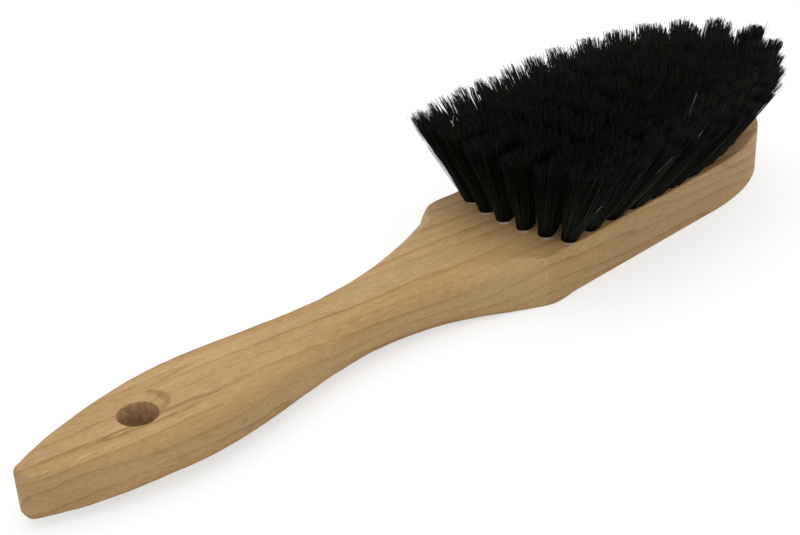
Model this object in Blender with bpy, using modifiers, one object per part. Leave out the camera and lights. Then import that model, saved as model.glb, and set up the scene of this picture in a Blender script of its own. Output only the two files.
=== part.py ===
"""Corner brush: a one-piece beech head and handle, filled with splayed tufts of black bristle.

Metres, +Z up. The brush lies on the flat back of its head, bristles up. The origin is on that back, halfway
along the head. +X runs from the handle to the head's nose.
"""

import math

import bmesh
import bpy
from mathutils import Vector

# Body, seen from above
OVERALL_LENGTH = 0.3234
HEAD_LENGTH = 0.1412
HEAD_WIDTH = 0.0562
NOSE_LENGTH = 0.0511
SHOULDER_WIDTH = 0.0560
SHOULDER_RUN = 0.0138
GRIP_WIDTH = 0.0362
GRIP_FROM_BUTT = 0.0547
WAIST_WIDTH = 0.0228
WAIST_FROM_BUTT = 0.1172
BUTT_FLAT = 0.0043
BUTT_RADIUS = 0.0020

# Body, seen from the side
HEAD_THICKNESS = 0.018
WAIST_THICKNESS = 0.0157
BUTT_THICKNESS = 0.0149
HANDLE_EDGE_RADIUS = 0.0052
HEAD_EDGE_RADIUS = 0.0008
EDGE_FADE_LENGTH = 0.016
BUTT_EDGE_RADIUS = 0.0019
BUTT_FADE_LENGTH = 0.041
BACK_FADE_LENGTH = 0.070

# Slopes of the outline: sideways growth for each unit of length
BUTT_SLOPE_SHARE = 0.484
FLARE_SLOPE_SHARE = 0.475
SHOULDER_SLOPE_SHARE = 0.33

# Hanging hole
HOLE_DIAMETER = 0.012
HOLE_FROM_BUTT = 0.0388
HOLE_CHAMFER = 0.0006

# Drilling for the tufts. The holes lie slightly to one side of the body's middle line, as the hanging hole does.
DRILL_OFFSET = -0.0017
TUFT_DIAMETER = 0.0046
TUFT_DEPTH = 0.010
TUFT_EDGE_MARGIN = 0.0055
TUFT_ROW_PITCH = 0.009
TUFT_NOSE_MARGIN = 0.0084
TUFT_NOSE_RUN = 0.0702
FRONT_ROW_FROM_SHOULDER = 0.0095
FRONT_ROW_BOW = 0.0037
RINGS = (("outer", 25), ("middle", 19), ("inner", 15))
FIT_GAP = 0.0003

# Bristles
TRIM_HEIGHT = 0.030
TRIM_STEP = 0.0004
TUFT_COLLAR = 0.0014
SPLAY_ACROSS_SHARE = 1.6
SPLAY_ALONG_SHARE = 1.136
UPRIGHT_FROM_SHOULDER = 0.0702
TUFT_SPREAD_SHARE = 2.05
STRAND_TIP_SHARE = 1.4
STRANDS_PER_TUFT = 8

# Anchor wire, across the fold at the foot of each tuft
ANCHOR_HEIGHT = 0.0018
ANCHOR_FROM_FOOT = 0.001
ANCHOR_REACH = 0.0003
FOLD_PINCH_SHARE = 0.8

# How finely curves are cut
BUTT_STEPS = 5
GRIP_STEPS = 6
WAIST_STEPS = 6
FLARE_STEPS = 8
SHOULDER_STEPS = 3
NOSE_STEPS = 12
EDGE_STEPS = 3
HOLE_SIDES = 32
RING_WALK_STEPS = 400

WELD_DISTANCE = 0.00002
CUT_OVERRUN = 0.002

HEAD_HALF = HEAD_WIDTH / 2
BUTT_X = HEAD_LENGTH / 2 - OVERALL_LENGTH
SHOULDER_X = -HEAD_LENGTH / 2
NOSE_END_X = HEAD_LENGTH / 2
NOSE_START_X = NOSE_END_X - NOSE_LENGTH


def make_material(name, colour, roughness, metallic=0.0):
    """A Principled material with one colour."""
    material = bpy.data.materials.new(name)
    material.use_nodes = True
    shader = material.node_tree.nodes["Principled BSDF"]
    shader.inputs["Base Color"].default_value = (*colour, 1.0)
    shader.inputs["Roughness"].default_value = roughness
    shader.inputs["Metallic"].default_value = metallic
    material.diffuse_color = (*colour, 1.0)
    return material


def smooth(share):
    """Eases from 0 to 1 with level ends."""
    share = min(max(share, 0.0), 1.0)
    return share * share * (3 - 2 * share)


def curve_points(start, end, start_slope, end_slope, steps):
    """Points of a cubic from start to end with the given slopes, without its first point."""
    run = end[0] - start[0]
    points = []
    for step in range(1, steps + 1):
        t = step / steps
        rise = (
            (2 * t**3 - 3 * t**2 + 1) * start[1]
            + (3 * t**2 - 2 * t**3) * end[1]
            + (t**3 - 2 * t**2 + t) * run * start_slope
            + (t**3 - t**2) * run * end_slope
        )
        points.append((start[0] + run * t, rise))
    return points


def half_outline():
    """The body's outline on the +Y side, from the butt's end to the nose's end, both on the middle line."""
    butt_turn = math.pi / 2 - math.atan(BUTT_SLOPE_SHARE)
    points = [(BUTT_X, 0.0)]
    for step in range(BUTT_STEPS + 1):
        turn = butt_turn * step / BUTT_STEPS
        points.append((BUTT_X + BUTT_RADIUS * (1 - math.cos(turn)), BUTT_FLAT / 2 + BUTT_RADIUS * math.sin(turn)))
    grip = (BUTT_X + GRIP_FROM_BUTT, GRIP_WIDTH / 2)
    waist = (BUTT_X + WAIST_FROM_BUTT, WAIST_WIDTH / 2)
    shoulder = (SHOULDER_X, SHOULDER_WIDTH / 2)
    side = (SHOULDER_X + SHOULDER_RUN, HEAD_HALF)
    points += curve_points(points[-1], grip, BUTT_SLOPE_SHARE, 0, GRIP_STEPS)
    points += curve_points(grip, waist, 0, 0, WAIST_STEPS)
    points += curve_points(waist, shoulder, 0, FLARE_SLOPE_SHARE, FLARE_STEPS)
    points += curve_points(shoulder, side, SHOULDER_SLOPE_SHARE, 0, SHOULDER_STEPS)
    for step in range(NOSE_STEPS + 1):
        turn = math.pi / 2 * step / NOSE_STEPS
        points.append((NOSE_START_X + NOSE_LENGTH * math.sin(turn), HEAD_HALF * math.cos(turn)))
    points[-1] = (NOSE_END_X, 0.0)
    return points


def outline_normals(points):
    """The outward direction at each outline point; the two ends look along the middle line."""
    normals = [Vector((-1, 0))]
    for before, after in zip(points, points[2:]):
        along = (Vector(after) - Vector(before)).normalized()
        normals.append(Vector((-along.y, along.x)))
    normals.append(Vector((1, 0)))
    return normals


def back_height(x):
    """Height of the underside: the head's flat back at zero, the handle's underside above it."""
    waist_rise = HEAD_THICKNESS - WAIST_THICKNESS
    butt_rise = HEAD_THICKNESS - BUTT_THICKNESS
    waist_x = BUTT_X + WAIST_FROM_BUTT
    rise = waist_rise * smooth((SHOULDER_X - x) / BACK_FADE_LENGTH)
    return rise + (butt_rise - waist_rise) * smooth((waist_x - x) / WAIST_FROM_BUTT)


def edge_radius(x):
    """Radius of the rounded edges: large on the handle, small on the head and round the end of the butt."""
    fade = smooth((SHOULDER_X - x) / EDGE_FADE_LENGTH)
    radius = HEAD_EDGE_RADIUS + (HANDLE_EDGE_RADIUS - HEAD_EDGE_RADIUS) * fade
    return BUTT_EDGE_RADIUS + (radius - BUTT_EDGE_RADIUS) * smooth((x - BUTT_X) / BUTT_FADE_LENGTH)


def body_section(x, y, normal):
    """The section through one outline point: middle of the top, round the edges, middle of the underside."""
    radius = edge_radius(x)
    low = back_height(x)
    section = []
    for step in range(EDGE_STEPS + 1):
        turn = math.pi / 2 * step / EDGE_STEPS
        inset = radius * (1 - math.sin(turn))
        section.append((x - normal.x * inset, y - normal.y * inset, HEAD_THICKNESS - radius * (1 - math.cos(turn))))
    lower = [(px, py, HEAD_THICKNESS + low - pz) for px, py, pz in reversed(section)]
    section = [(section[0][0], 0.0, HEAD_THICKNESS)] + section + lower + [(section[0][0], 0.0, low)]
    return section


def make_cutter(name, mesh, collection):
    """An object that only cuts."""
    cutter = bpy.data.objects.new(name, mesh)
    cutter.hide_render = True
    cutter.display_type = "WIRE"
    collection.objects.link(cutter)
    return cutter


def hanging_hole_cutter(collection):
    """A turned cutter through the handle, opening into a small chamfer at both mouths."""
    x = BUTT_X + HOLE_FROM_BUTT
    radius = HOLE_DIAMETER / 2
    flare = HOLE_CHAMFER + CUT_OVERRUN
    bottom = back_height(x)
    profile = [
        (0, bottom - CUT_OVERRUN),
        (radius + flare, bottom - CUT_OVERRUN),
        (radius, bottom + HOLE_CHAMFER),
        (radius, HEAD_THICKNESS - HOLE_CHAMFER),
        (radius + flare, HEAD_THICKNESS + CUT_OVERRUN),
        (0, HEAD_THICKNESS + CUT_OVERRUN),
    ]
    bm = bmesh.new()
    ring = [bm.verts.new((r, 0, z)) for r, z in profile]
    edges = [bm.edges.new(pair) for pair in zip(ring, ring[1:])]
    bmesh.ops.spin(
        bm, geom=ring + edges, cent=(0, 0, 0), axis=(0, 0, 1), angle=math.tau, steps=HOLE_SIDES, use_merge=True
    )
    bmesh.ops.remove_doubles(bm, verts=bm.verts, dist=WELD_DISTANCE)
    bmesh.ops.recalc_face_normals(bm, faces=bm.faces)
    bmesh.ops.translate(bm, verts=bm.verts, vec=(x, DRILL_OFFSET, 0))
    mesh = bpy.data.meshes.new("hanging_hole_cutter")
    bm.to_mesh(mesh)
    bm.free()
    return make_cutter("hanging_hole_cutter", mesh, collection)


def ring_path(inset):
    """Points of half a drilling ring that lies so far inside the outer one, from the front row to the nose."""
    half = HEAD_HALF - TUFT_EDGE_MARGIN - inset
    outer_half = HEAD_HALF - TUFT_EDGE_MARGIN
    reach = TUFT_NOSE_RUN - inset
    arc_x = NOSE_END_X - TUFT_NOSE_MARGIN - TUFT_NOSE_RUN
    start = SHOULDER_X + FRONT_ROW_FROM_SHOULDER + FRONT_ROW_BOW * (half / outer_half) ** 2
    path = [Vector((start, half))]
    for step in range(RING_WALK_STEPS + 1):
        turn = math.pi / 2 * step / RING_WALK_STEPS
        path.append(Vector((arc_x + reach * math.sin(turn), half * math.cos(turn))))
    return path


def spaced_points(path, count):
    """Points at equal distances along a path, ends included."""
    lengths = [(b - a).length for a, b in zip(path, path[1:])]
    pitch = sum(lengths) / (count - 1)
    points = [path[0]]
    walked = 0.0
    for start, end, length in zip(path, path[1:], lengths):
        while len(points) < count - 1 and walked + length >= pitch * len(points):
            points.append(start.lerp(end, (pitch * len(points) - walked) / length))
        walked += length
    return points + [path[-1]]


def tuft_places():
    """Name, root and lean of every tuft. The lean is the sideways run for each unit of height."""
    places = []
    upright_x = SHOULDER_X + UPRIGHT_FROM_SHOULDER
    for ring, (name, count) in enumerate(RINGS):
        half_ring = spaced_points(ring_path(TUFT_ROW_PITCH * ring), count // 2 + 1)
        far = [(p.x, p.y) for p in half_ring]
        near = [(x, -y) for x, y in reversed(far[:-1])]
        for number, (x, y) in enumerate(far + near, start=1):
            root = Vector((x, y + DRILL_OFFSET, HEAD_THICKNESS))
            lean_x = (x - upright_x) * (SPLAY_ALONG_SHARE - 1) / TRIM_HEIGHT
            lean_y = y * (SPLAY_ACROSS_SHARE - 1) / TRIM_HEIGHT
            places.append((f"tuft_{name}_{number:02d}", root, Vector((lean_x, lean_y, 1.0))))
    return places


def tuft_frame(root, lean):
    """The matrix that stands a piece modelled along +Z on its root, leaning with its tuft."""
    frame = lean.to_track_quat("Z", "Y").to_matrix().to_4x4()
    frame.translation = root
    return frame


def tuft_hole_cutter(places, collection):
    """All the tuft holes as one cutter: eight-sided drillings that lean with their tufts."""
    radius = TUFT_DIAMETER / 2 + FIT_GAP / math.cos(math.pi / STRANDS_PER_TUFT)
    depth = TUFT_DEPTH + FIT_GAP
    bm = bmesh.new()
    for _, root, lean in places:
        made = bmesh.ops.create_cone(
            bm, cap_ends=True, segments=STRANDS_PER_TUFT, radius1=radius, radius2=radius, depth=depth + CUT_OVERRUN
        )
        bmesh.ops.translate(bm, verts=made["verts"], vec=(0, 0, (CUT_OVERRUN - depth) / 2))
        bmesh.ops.transform(bm, verts=made["verts"], matrix=tuft_frame(root, lean))
    mesh = bpy.data.meshes.new("tuft_hole_cutter")
    bm.to_mesh(mesh)
    bm.free()
    return make_cutter("tuft_hole_cutter", mesh, collection)


def make_body(cutters, material, collection):
    """The wooden head and handle: a half skinned along the outline, mirrored, then drilled."""
    points = half_outline()
    bm = bmesh.new()
    sections = []
    for (x, y), normal in zip(points, outline_normals(points)):
        sections.append([bm.verts.new(place) for place in body_section(x, y, normal)])
    for first, second in zip(sections, sections[1:]):
        for a, b, c, d in zip(first, first[1:], second[1:], second):
            bm.faces.new((a, b, c, d))
    bmesh.ops.remove_doubles(bm, verts=bm.verts, dist=WELD_DISTANCE)
    bmesh.ops.recalc_face_normals(bm, faces=bm.faces)
    mesh = bpy.data.meshes.new("wooden_body")
    bm.to_mesh(mesh)
    bm.free()
    mesh.materials.append(material)
    body = bpy.data.objects.new("wooden_body", mesh)
    collection.objects.link(body)
    mirror = body.modifiers.new("other side", "MIRROR")
    mirror.use_axis = (False, True, False)
    mirror.merge_threshold = WELD_DISTANCE
    for cutter in cutters:
        drill = body.modifiers.new(cutter.name, "BOOLEAN")
        drill.operation = "DIFFERENCE"
        drill.object = cutter
    mesh.shade_smooth()
    mesh.set_sharp_from_angle(angle=math.radians(40))
    return body


def make_tuft(name, root, lean, material, collection):
    """One tuft: its folded foot round the anchor wire, its bound collar, and the strands that spread to the trim."""
    radius = TUFT_DIAMETER / 2
    bm = bmesh.new()
    made = bmesh.ops.create_cone(
        bm,
        cap_ends=True,
        cap_tris=True,
        segments=STRANDS_PER_TUFT,
        radius1=radius * FOLD_PINCH_SHARE,
        radius2=radius,
        depth=TUFT_DEPTH + TUFT_COLLAR,
    )
    bmesh.ops.translate(bm, verts=made["verts"], vec=(0, 0, (TUFT_COLLAR - TUFT_DEPTH) / 2))
    tips = [face for face in bm.faces if face.normal.z > 0.9]
    add_anchor(bm)
    bmesh.ops.recalc_face_normals(bm, faces=bm.faces)
    spread_strands(bm, tips, root, lean)
    mesh = bpy.data.meshes.new(name)
    bm.to_mesh(mesh)
    bm.free()
    mesh.materials.append(material)
    tuft = bpy.data.objects.new(name, mesh)
    frame = tuft_frame(root, lean)
    tuft.location = frame.to_translation()
    tuft.rotation_euler = frame.to_euler()
    collection.objects.link(tuft)
    return tuft


def add_anchor(bm):
    """The two ends of the anchor wire, standing out of the pinched fold."""
    low = -TUFT_DEPTH + ANCHOR_FROM_FOOT
    for level in (low, low + ANCHOR_HEIGHT):
        geometry = bm.verts[:] + bm.edges[:] + bm.faces[:]
        bmesh.ops.bisect_plane(bm, geom=geometry, plane_co=(0, 0, level), plane_no=(0, 0, 1))
    band = [f for f in bm.faces if low < f.calc_center_median().z < low + ANCHOR_HEIGHT]
    band.sort(key=lambda f: math.atan2(f.normal.y, f.normal.x))
    ends = [band[0], band[len(band) // 2]]
    for face in bmesh.ops.extrude_discrete_faces(bm, faces=ends)["faces"]:
        outward = Vector((face.normal.x, face.normal.y, 0)).normalized()
        bmesh.ops.translate(bm, verts=face.verts, vec=outward * ANCHOR_REACH)


def spread_strands(bm, tips, root, lean):
    """Draws each wedge of the collar out into a strand that ends on the flat trim."""
    to_local = tuft_frame(root, lean).inverted()
    turned = tuft_frame(root, lean).to_3x3()
    for number, face in enumerate(bmesh.ops.extrude_discrete_faces(bm, faces=tips)["faces"]):
        middle = face.calc_center_median()
        middle.z = 0
        height = TRIM_HEIGHT - TRIM_STEP * (3 * number % 4)
        for vertex in face.verts:
            own = vertex.co - middle
            own.z = 0
            sideways = turned @ (middle * TUFT_SPREAD_SHARE + own * STRAND_TIP_SHARE)
            sideways.z = 0
            vertex.co = to_local @ (root + lean * height + sideways)


def clear_scene():
    """Removes every object the scene holds."""
    for thing in list(bpy.data.objects):
        bpy.data.objects.remove(thing, do_unlink=True)


def new_collection(name):
    """A collection linked to the scene."""
    collection = bpy.data.collections.new(name)
    bpy.context.scene.collection.children.link(collection)
    return collection


def main():
    """Builds the brush."""
    clear_scene()
    parts = new_collection("corner_brush")
    cutters = new_collection("cutters")
    beech = make_material("beech", (0.58, 0.39, 0.22), 0.55)
    bristle = make_material("black_bristle", (0.012, 0.012, 0.011), 0.4)
    places = tuft_places()
    drills = [hanging_hole_cutter(cutters), tuft_hole_cutter(places, cutters)]
    make_body(drills, beech, parts)
    for name, root, lean in places:
        make_tuft(name, root, lean, bristle, parts)


main()
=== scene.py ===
"""Looks of the corner brush: its beech body, its tufts of black bristle and the studio round it.

Laid out as a Blender add-on and run as a script. Metres, +Z up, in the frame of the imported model: the brush
lies on the flat back of its head, and +X runs from the handle to the nose.
"""

import math

import bmesh
import bpy
import numpy as np
from bpy.props import FloatProperty, FloatVectorProperty, IntProperty, PointerProperty
from bpy.types import Operator, Panel, PropertyGroup
from mathutils import Matrix, Vector, noise


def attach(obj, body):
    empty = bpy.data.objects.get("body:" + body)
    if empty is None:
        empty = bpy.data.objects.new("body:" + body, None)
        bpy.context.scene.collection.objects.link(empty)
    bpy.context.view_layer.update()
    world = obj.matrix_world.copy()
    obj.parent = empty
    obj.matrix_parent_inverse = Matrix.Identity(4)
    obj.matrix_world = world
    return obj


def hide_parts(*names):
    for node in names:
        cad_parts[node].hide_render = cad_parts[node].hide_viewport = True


bl_info = {
    "name": "Corner Brush",
    "version": (1, 0, 0),
    "blender": (4, 5, 0),
    "location": "3D View > Sidebar > Corner Brush",
    "description": "A beech brush with splayed tufts of black bristle, and the studio it is seen in",
    "category": "Add Mesh",
}

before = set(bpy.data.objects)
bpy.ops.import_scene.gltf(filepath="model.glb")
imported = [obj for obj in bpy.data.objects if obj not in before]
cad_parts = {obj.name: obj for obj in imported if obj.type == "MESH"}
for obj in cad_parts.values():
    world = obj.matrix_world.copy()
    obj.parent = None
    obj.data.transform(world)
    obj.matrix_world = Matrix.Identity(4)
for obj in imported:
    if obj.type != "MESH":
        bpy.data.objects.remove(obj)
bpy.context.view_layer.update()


def length(name, description, default, low=0.0):
    """A length or a place, in metres."""
    return FloatProperty(
        name=name,
        description=description,
        default=default,
        min=low,
        precision=5,
        unit="LENGTH",
        subtype="DISTANCE",
    )


def share(name, description, default, high=10.0):
    """A plain ratio."""
    return FloatProperty(name=name, description=description, default=default, min=0.0, max=high, precision=4)


def colour(name, description, default):
    """A colour property, linear."""
    return FloatVectorProperty(
        name=name, description=description, default=default, size=3, min=0.0, max=1.0, subtype="COLOR"
    )


class BodySizes(PropertyGroup):
    """The wooden body's outline, its thickness and its rounded edges."""

    overall_length: length("Overall length", "From the end of the butt to the nose", 0.3234)
    head_length: length("Head length", "From the shoulder to the nose", 0.1412)
    head_width: length("Head width", "Across the straight sides of the head", 0.0562)
    nose_length: length("Nose length", "Length of the rounded nose", 0.0511)
    shoulder_width: length("Shoulder width", "Across the shoulders, where the flare ends", 0.0560)
    shoulder_run: length("Shoulder run", "From the shoulder's corner to the straight side", 0.0138)
    grip_width: length("Grip width", "Across the widest place of the handle", 0.0362)
    grip_from_butt: length("Grip from butt", "From the end of the butt to the widest place", 0.0547)
    waist_width: length("Waist width", "Across the narrowest place of the handle", 0.0228)
    waist_from_butt: length("Waist from butt", "From the end of the butt to the narrowest place", 0.1172)
    butt_flat: length("Butt flat", "Width of the flat end of the butt", 0.0024)
    butt_radius: length("Butt radius", "Rounding of the butt's corners, seen from above", 0.0026)
    butt_wear: length("Butt wear", "How far the end of the butt is worn down", 0.0008)
    butt_back_edge: length("Butt back edge", "Radius of the lower edge of the butt's end", 0.0008)
    flat_band: length("Flat band", "Width of the narrow faces beside the rounded edges", 0.0008)
    butt_slope: share("Butt slope", "Sideways growth behind the butt's end", 0.484)
    flare_slope: share("Flare slope", "Sideways growth where the flare meets the shoulder", 0.475)
    shoulder_slope: share("Shoulder slope", "Sideways growth just past the shoulder's corner", 0.33)
    head_thickness: length("Head thickness", "Thickness of the head", 0.018)
    waist_thickness: length("Waist thickness", "Thickness of the handle at its waist", 0.0157)
    butt_thickness: length("Butt thickness", "Thickness of the handle at its end", 0.0149)
    back_fade: length("Back fade", "Length in which the underside rises behind the head", 0.070)
    handle_edge: length("Handle edge", "Radius of the hand-rounded edges of the handle", 0.0052)
    head_edge: length("Head edge", "Radius of the sharp edges of the head", 0.0006)
    edge_fade: length("Edge fade", "Length in which the upper rounding runs out at the head", 0.0085)
    crease_back: length("Crease back", "How far behind the shoulder the rounding has run out", 0.0016)
    back_edge_fade: length("Back edge fade", "Length in which the lower rounding runs out at the head", 0.035)
    butt_edge: length("Butt edge", "Radius of the edges round the butt", 0.0017)
    butt_fade: length("Butt fade", "Length in which the butt's edges grow to the handle's", 0.041)
    hole_diameter: length("Hole diameter", "Diameter of the hanging hole", 0.012)
    hole_from_butt: length("Hole from butt", "From the end of the butt to the middle of the hole", 0.0388)
    hole_rim: length("Hole rim", "Radius of the softened rim of the hanging hole", 0.0003)


class DrillingSizes(PropertyGroup):
    """The rings of tuft holes in the head."""

    offset: length("Offset", "From the middle line to the middle of the drilled pattern", -0.0017, low=-1.0)
    diameter: length("Tuft diameter", "Diameter of a tuft where it leaves its hole", 0.0046)
    clearance: length("Clearance", "Gap between a tuft and the wall of its hole", 0.00028)
    depth: length("Depth", "Depth of a tuft hole", 0.010)
    edge_margin: length("Edge margin", "From the outer ring to the side of the head", 0.0055)
    nose_margin: length("Nose margin", "From the outer ring to the nose", 0.0084)
    nose_run: length("Nose run", "Length in which the outer ring narrows to the nose", 0.0702)
    row_pitch: length("Row pitch", "Distance between two rings", 0.009)
    front_row: length("Front row", "From the shoulder to the middle of the front row", 0.0095)
    front_row_bow: length("Front row bow", "How far the ends of the front row stand back", 0.0037)
    front_shift: length("Front shift", "How far all front tufts but one stand to the near side", 0.0014)
    front_shift_run: length("Front shift run", "Length in which the front shift fades out", 0.070)
    upright: length("Upright place", "From the shoulder to the tufts that stand upright", 0.0702)
    splay_across: share("Splay across", "Width at the tips for the width at the wood", 1.6)
    splay_along: share("Splay along", "Length at the tips for the length at the wood", 1.136)
    outer_count: IntProperty(name="Outer tufts", description="Tufts in the outer ring", default=25, min=3)
    middle_count: IntProperty(name="Middle tufts", description="Tufts in the middle ring", default=19, min=3)
    inner_count: IntProperty(name="Inner tufts", description="Tufts in the inner ring", default=15, min=3)


class BristleSizes(PropertyGroup):
    """The strands of each tuft."""

    trim_height: length("Trim height", "Height of the flat trim above the wood", 0.030)
    trim_scatter: length("Trim scatter", "How unevenly the strands are trimmed", 0.00028)
    strand_count: IntProperty(name="Strands", description="Strands in each tuft", default=430, min=16)
    strand_radius: length("Strand radius", "Radius of one bristle", 0.00013)
    sunk: length("Sunk part", "How far the strands are drawn down into the hole", 0.0035)
    spread: share("Spread", "Width of an outer tuft at its tips for its width at the wood", 2.5)
    front_spread: share("Front spread", "The same for a tuft of the front row", 2.4)
    inner_spread: share("Inner spread", "The same for a tuft inside the outer ring", 3.5)
    far_spread: share("Far spread", "The same for a tuft of the far side behind the front row", 2.9)
    nose_spread: share("Nose spread", "The same for a tuft at the nose", 2.1)
    fan: length("Fan", "How much further the bristles fan out on the far side", 0.0042)
    inward: length("Inward", "How much further the inner bristles of an outer tuft lean inwards", 0.0045)
    nose_lean: length("Nose lean", "How far the far tufts lean on towards the nose", 0.0068)
    nose_lean_run: length("Nose lean run", "Length of the head in which the nose lean grows", 0.070)
    sweep: FloatVectorProperty(
        name="Sweep",
        description="How far the bristles of the near side are swept at their tips",
        default=(0.014, -0.002, 0.0),
        precision=4,
        unit="LENGTH",
        subtype="TRANSLATION",
    )
    sweep_end: length("Sweep end", "Where along the brush the sweep begins to fade", 0.008, low=-1.0)
    sweep_fade: length("Sweep fade", "Length in which the sweep fades out", 0.042)
    longest: length("Longest bristle", "Length of a bristle that the trim doesn't cut", 0.0375)
    near_longest: length("Longest near bristle", "The same for the swept bristles of the near side", 0.0345)
    curl: length("Curl", "How far a bristle bends out of line at its tip", 0.0006)
    stray_share: share("Stray bristles", "Share of bristles that stand away from their tuft", 0.05, high=1.0)
    short_share: share("Short bristles", "Share of bristles that end below the trim", 0.10, high=1.0)
    seed: IntProperty(name="Seed", description="Seed of the bristles' unevenness", default=7, min=0)


class WoodColours(PropertyGroup):
    """Colours and grain of the beech."""

    light: colour("Early wood", "Pale wood between the growth lines", (0.535, 0.345, 0.158))
    warm: colour("Late wood", "Warmer wood by the growth lines and in broad streaks", (0.445, 0.250, 0.088))
    line: colour("Growth line", "Thin dark line at the end of a year's growth", (0.21, 0.108, 0.038))
    fleck: colour("Fleck", "Short dark flecks along the grain", (0.26, 0.140, 0.058))
    # Painted side tone: mixed into the upright faces for how they are lit, not a colour of the wood itself
    painted_side_tone: colour("Sidelit wood", "Greyer wood of the upright sides", (0.43, 0.33, 0.22))
    # Also the colour of the painted highlight on the crease
    worn: colour("Worn wood", "Pale raised fibres where the wood was worked by hand", (0.66, 0.48, 0.28))
    torn: colour("Torn wood", "Pale fibres torn up where the tufts leave the wood", (0.90, 0.84, 0.72))
    bruise: colour("Bruise", "Brown print of a drill beside the hanging hole", (0.30, 0.155, 0.055))
    drilled: colour("Drilled wood", "Rough wall of a drilled hole", (0.54, 0.335, 0.17))
    line_strength: share("Line strength", "How dark the growth lines are", 0.60, high=1.0)
    ring_width: length("Ring width", "Width of one year's growth", 0.0040)
    pith_distance: length("Pith distance", "How far the middle of the tree lay", 0.20)
    ring_normal: FloatVectorProperty(
        name="Ring normal", description="Direction across the growth rings", default=(0.11, 0.85, 1.0)
    )
    grain_direction: FloatVectorProperty(
        name="Grain direction", description="Direction along the fibres", default=(1.0, -0.09, -0.033)
    )


class BristleColours(PropertyGroup):
    """Colours of the bristles."""

    black: colour("Black", "The darkest bristles", (0.0009, 0.0010, 0.0006))
    olive: colour("Olive", "Bristles that are not quite black, in some patches", (0.0048, 0.0056, 0.0010))
    slate: colour("Slate", "Bristles that are not quite black, in other patches", (0.0030, 0.0036, 0.0060))
    # Painted sheen: pale grey mixed into the strands for the light that they catch, most on the near side
    silver: colour("Silver", "The sides of the bristles that catch the light", (0.022, 0.023, 0.019))
    # Painted light: a lighter colour for the lower part of the strands, standing in for light that reaches
    # between them near the wood
    foot: colour("Foot", "Lit lower part of the bristles", (0.023, 0.026, 0.0165))
    brown: colour("Brown", "A few brown bristles", (0.030, 0.017, 0.007))
    grey: colour("Grey", "A few grey bristles", (0.055, 0.053, 0.045))
    white: colour("White", "The odd white bristle", (0.20, 0.205, 0.18))
    cut: colour("Cut", "The cut ends of the bristles", (0.07, 0.07, 0.055))


class StudioSettings(PropertyGroup):
    """Floor, lamps and camera."""

    floor_size: length("Floor size", "Width of the floor", 6.0)
    sky: share("Sky", "Strength of the even light from all sides", 0.85)
    floor_tone: share("Floor tone", "How pale the floor looks", 0.45, high=1.0)
    floor_bounce: share("Floor bounce", "How much light the floor throws back at the brush", 0.66, high=1.0)
    floor_glow: share("Floor glow", "Light of its own that makes the floor look white", 0.63)
    lamp_power: FloatProperty(name="Lamp power", description="Power of the softbox", default=2.0, min=0.0)
    lens: FloatProperty(name="Lens", description="Focal length", default=68.97, min=1.0, unit="CAMERA")


class CornerBrushSettings(PropertyGroup):
    """Everything that the sidebar shows."""

    body: PointerProperty(type=BodySizes)
    drilling: PointerProperty(type=DrillingSizes)
    bristle: PointerProperty(type=BristleSizes)
    wood: PointerProperty(type=WoodColours)
    bristle_colours: PointerProperty(type=BristleColours)
    studio: PointerProperty(type=StudioSettings)


# Outline of the body

# Steps in which its stretches are drawn
END_STEPS = 3
CORNER_STEPS = 8
GRIP_STEPS = 50
WAIST_STEPS = 60
FLARE_STEPS = 70
SHOULDER_STEPS = 12
SIDE_STEPS = 60
NOSE_STEPS = 60


def smooth(value):
    """Eases from 0 to 1 with level ends."""
    value = np.clip(value, 0.0, 1.0)
    return value * value * (3 - 2 * value)


def shoulder_x(body):
    """Where the head begins."""
    return -body.head_length / 2


def butt_x(body):
    """Where the handle ends."""
    return body.head_length / 2 - body.overall_length


def hole_x(body):
    """Where the middle of the hanging hole lies."""
    return butt_x(body) + body.hole_from_butt


def curve_points(start, end, start_slope, end_slope, steps):
    """Points of a cubic from start to end with the given slopes, without its first point."""
    t = np.arange(1, steps + 1) / steps
    run = end[0] - start[0]
    rise = (
        (2 * t**3 - 3 * t**2 + 1) * start[1]
        + (3 * t**2 - 2 * t**3) * end[1]
        + (t**3 - 2 * t**2 + t) * run * start_slope
        + (t**3 - t**2) * run * end_slope
    )
    return np.stack([start[0] + run * t, rise], axis=1)


def half_outline(body):
    """The outline on the +Y side, from the end of the butt to the nose, both on the middle line."""
    half = body.head_width / 2
    start_x, head_x = butt_x(body), shoulder_x(body)
    nose_x = body.head_length / 2 - body.nose_length
    turn = np.linspace(0, math.pi / 2 - math.atan(body.butt_slope), CORNER_STEPS + 1)
    corner_y = body.butt_flat / 2
    butt = np.stack(
        [start_x + body.butt_radius * (1 - np.cos(turn)), corner_y + body.butt_radius * np.sin(turn)], axis=1
    )
    end = np.stack([np.full(END_STEPS, start_x), np.linspace(0, corner_y, END_STEPS + 1)[:-1]], axis=1)
    grip = (start_x + body.grip_from_butt, body.grip_width / 2)
    waist = (start_x + body.waist_from_butt, body.waist_width / 2)
    shoulder = (head_x, body.shoulder_width / 2)
    side = (head_x + body.shoulder_run, half)
    turn = np.linspace(0, math.pi / 2, NOSE_STEPS + 1)[1:]
    nose = np.stack([nose_x + body.nose_length * np.sin(turn), half * np.cos(turn)], axis=1)
    nose[-1] = (body.head_length / 2, 0.0)
    return np.concatenate(
        [
            end,
            butt,
            curve_points(butt[-1], grip, body.butt_slope, 0, GRIP_STEPS),
            curve_points(grip, waist, 0, 0, WAIST_STEPS),
            curve_points(waist, shoulder, 0, body.flare_slope, FLARE_STEPS),
            curve_points(shoulder, side, body.shoulder_slope, 0, SHOULDER_STEPS),
            curve_points(side, (nose_x, half), 0, 0, SIDE_STEPS),
            nose,
        ]
    )


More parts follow.
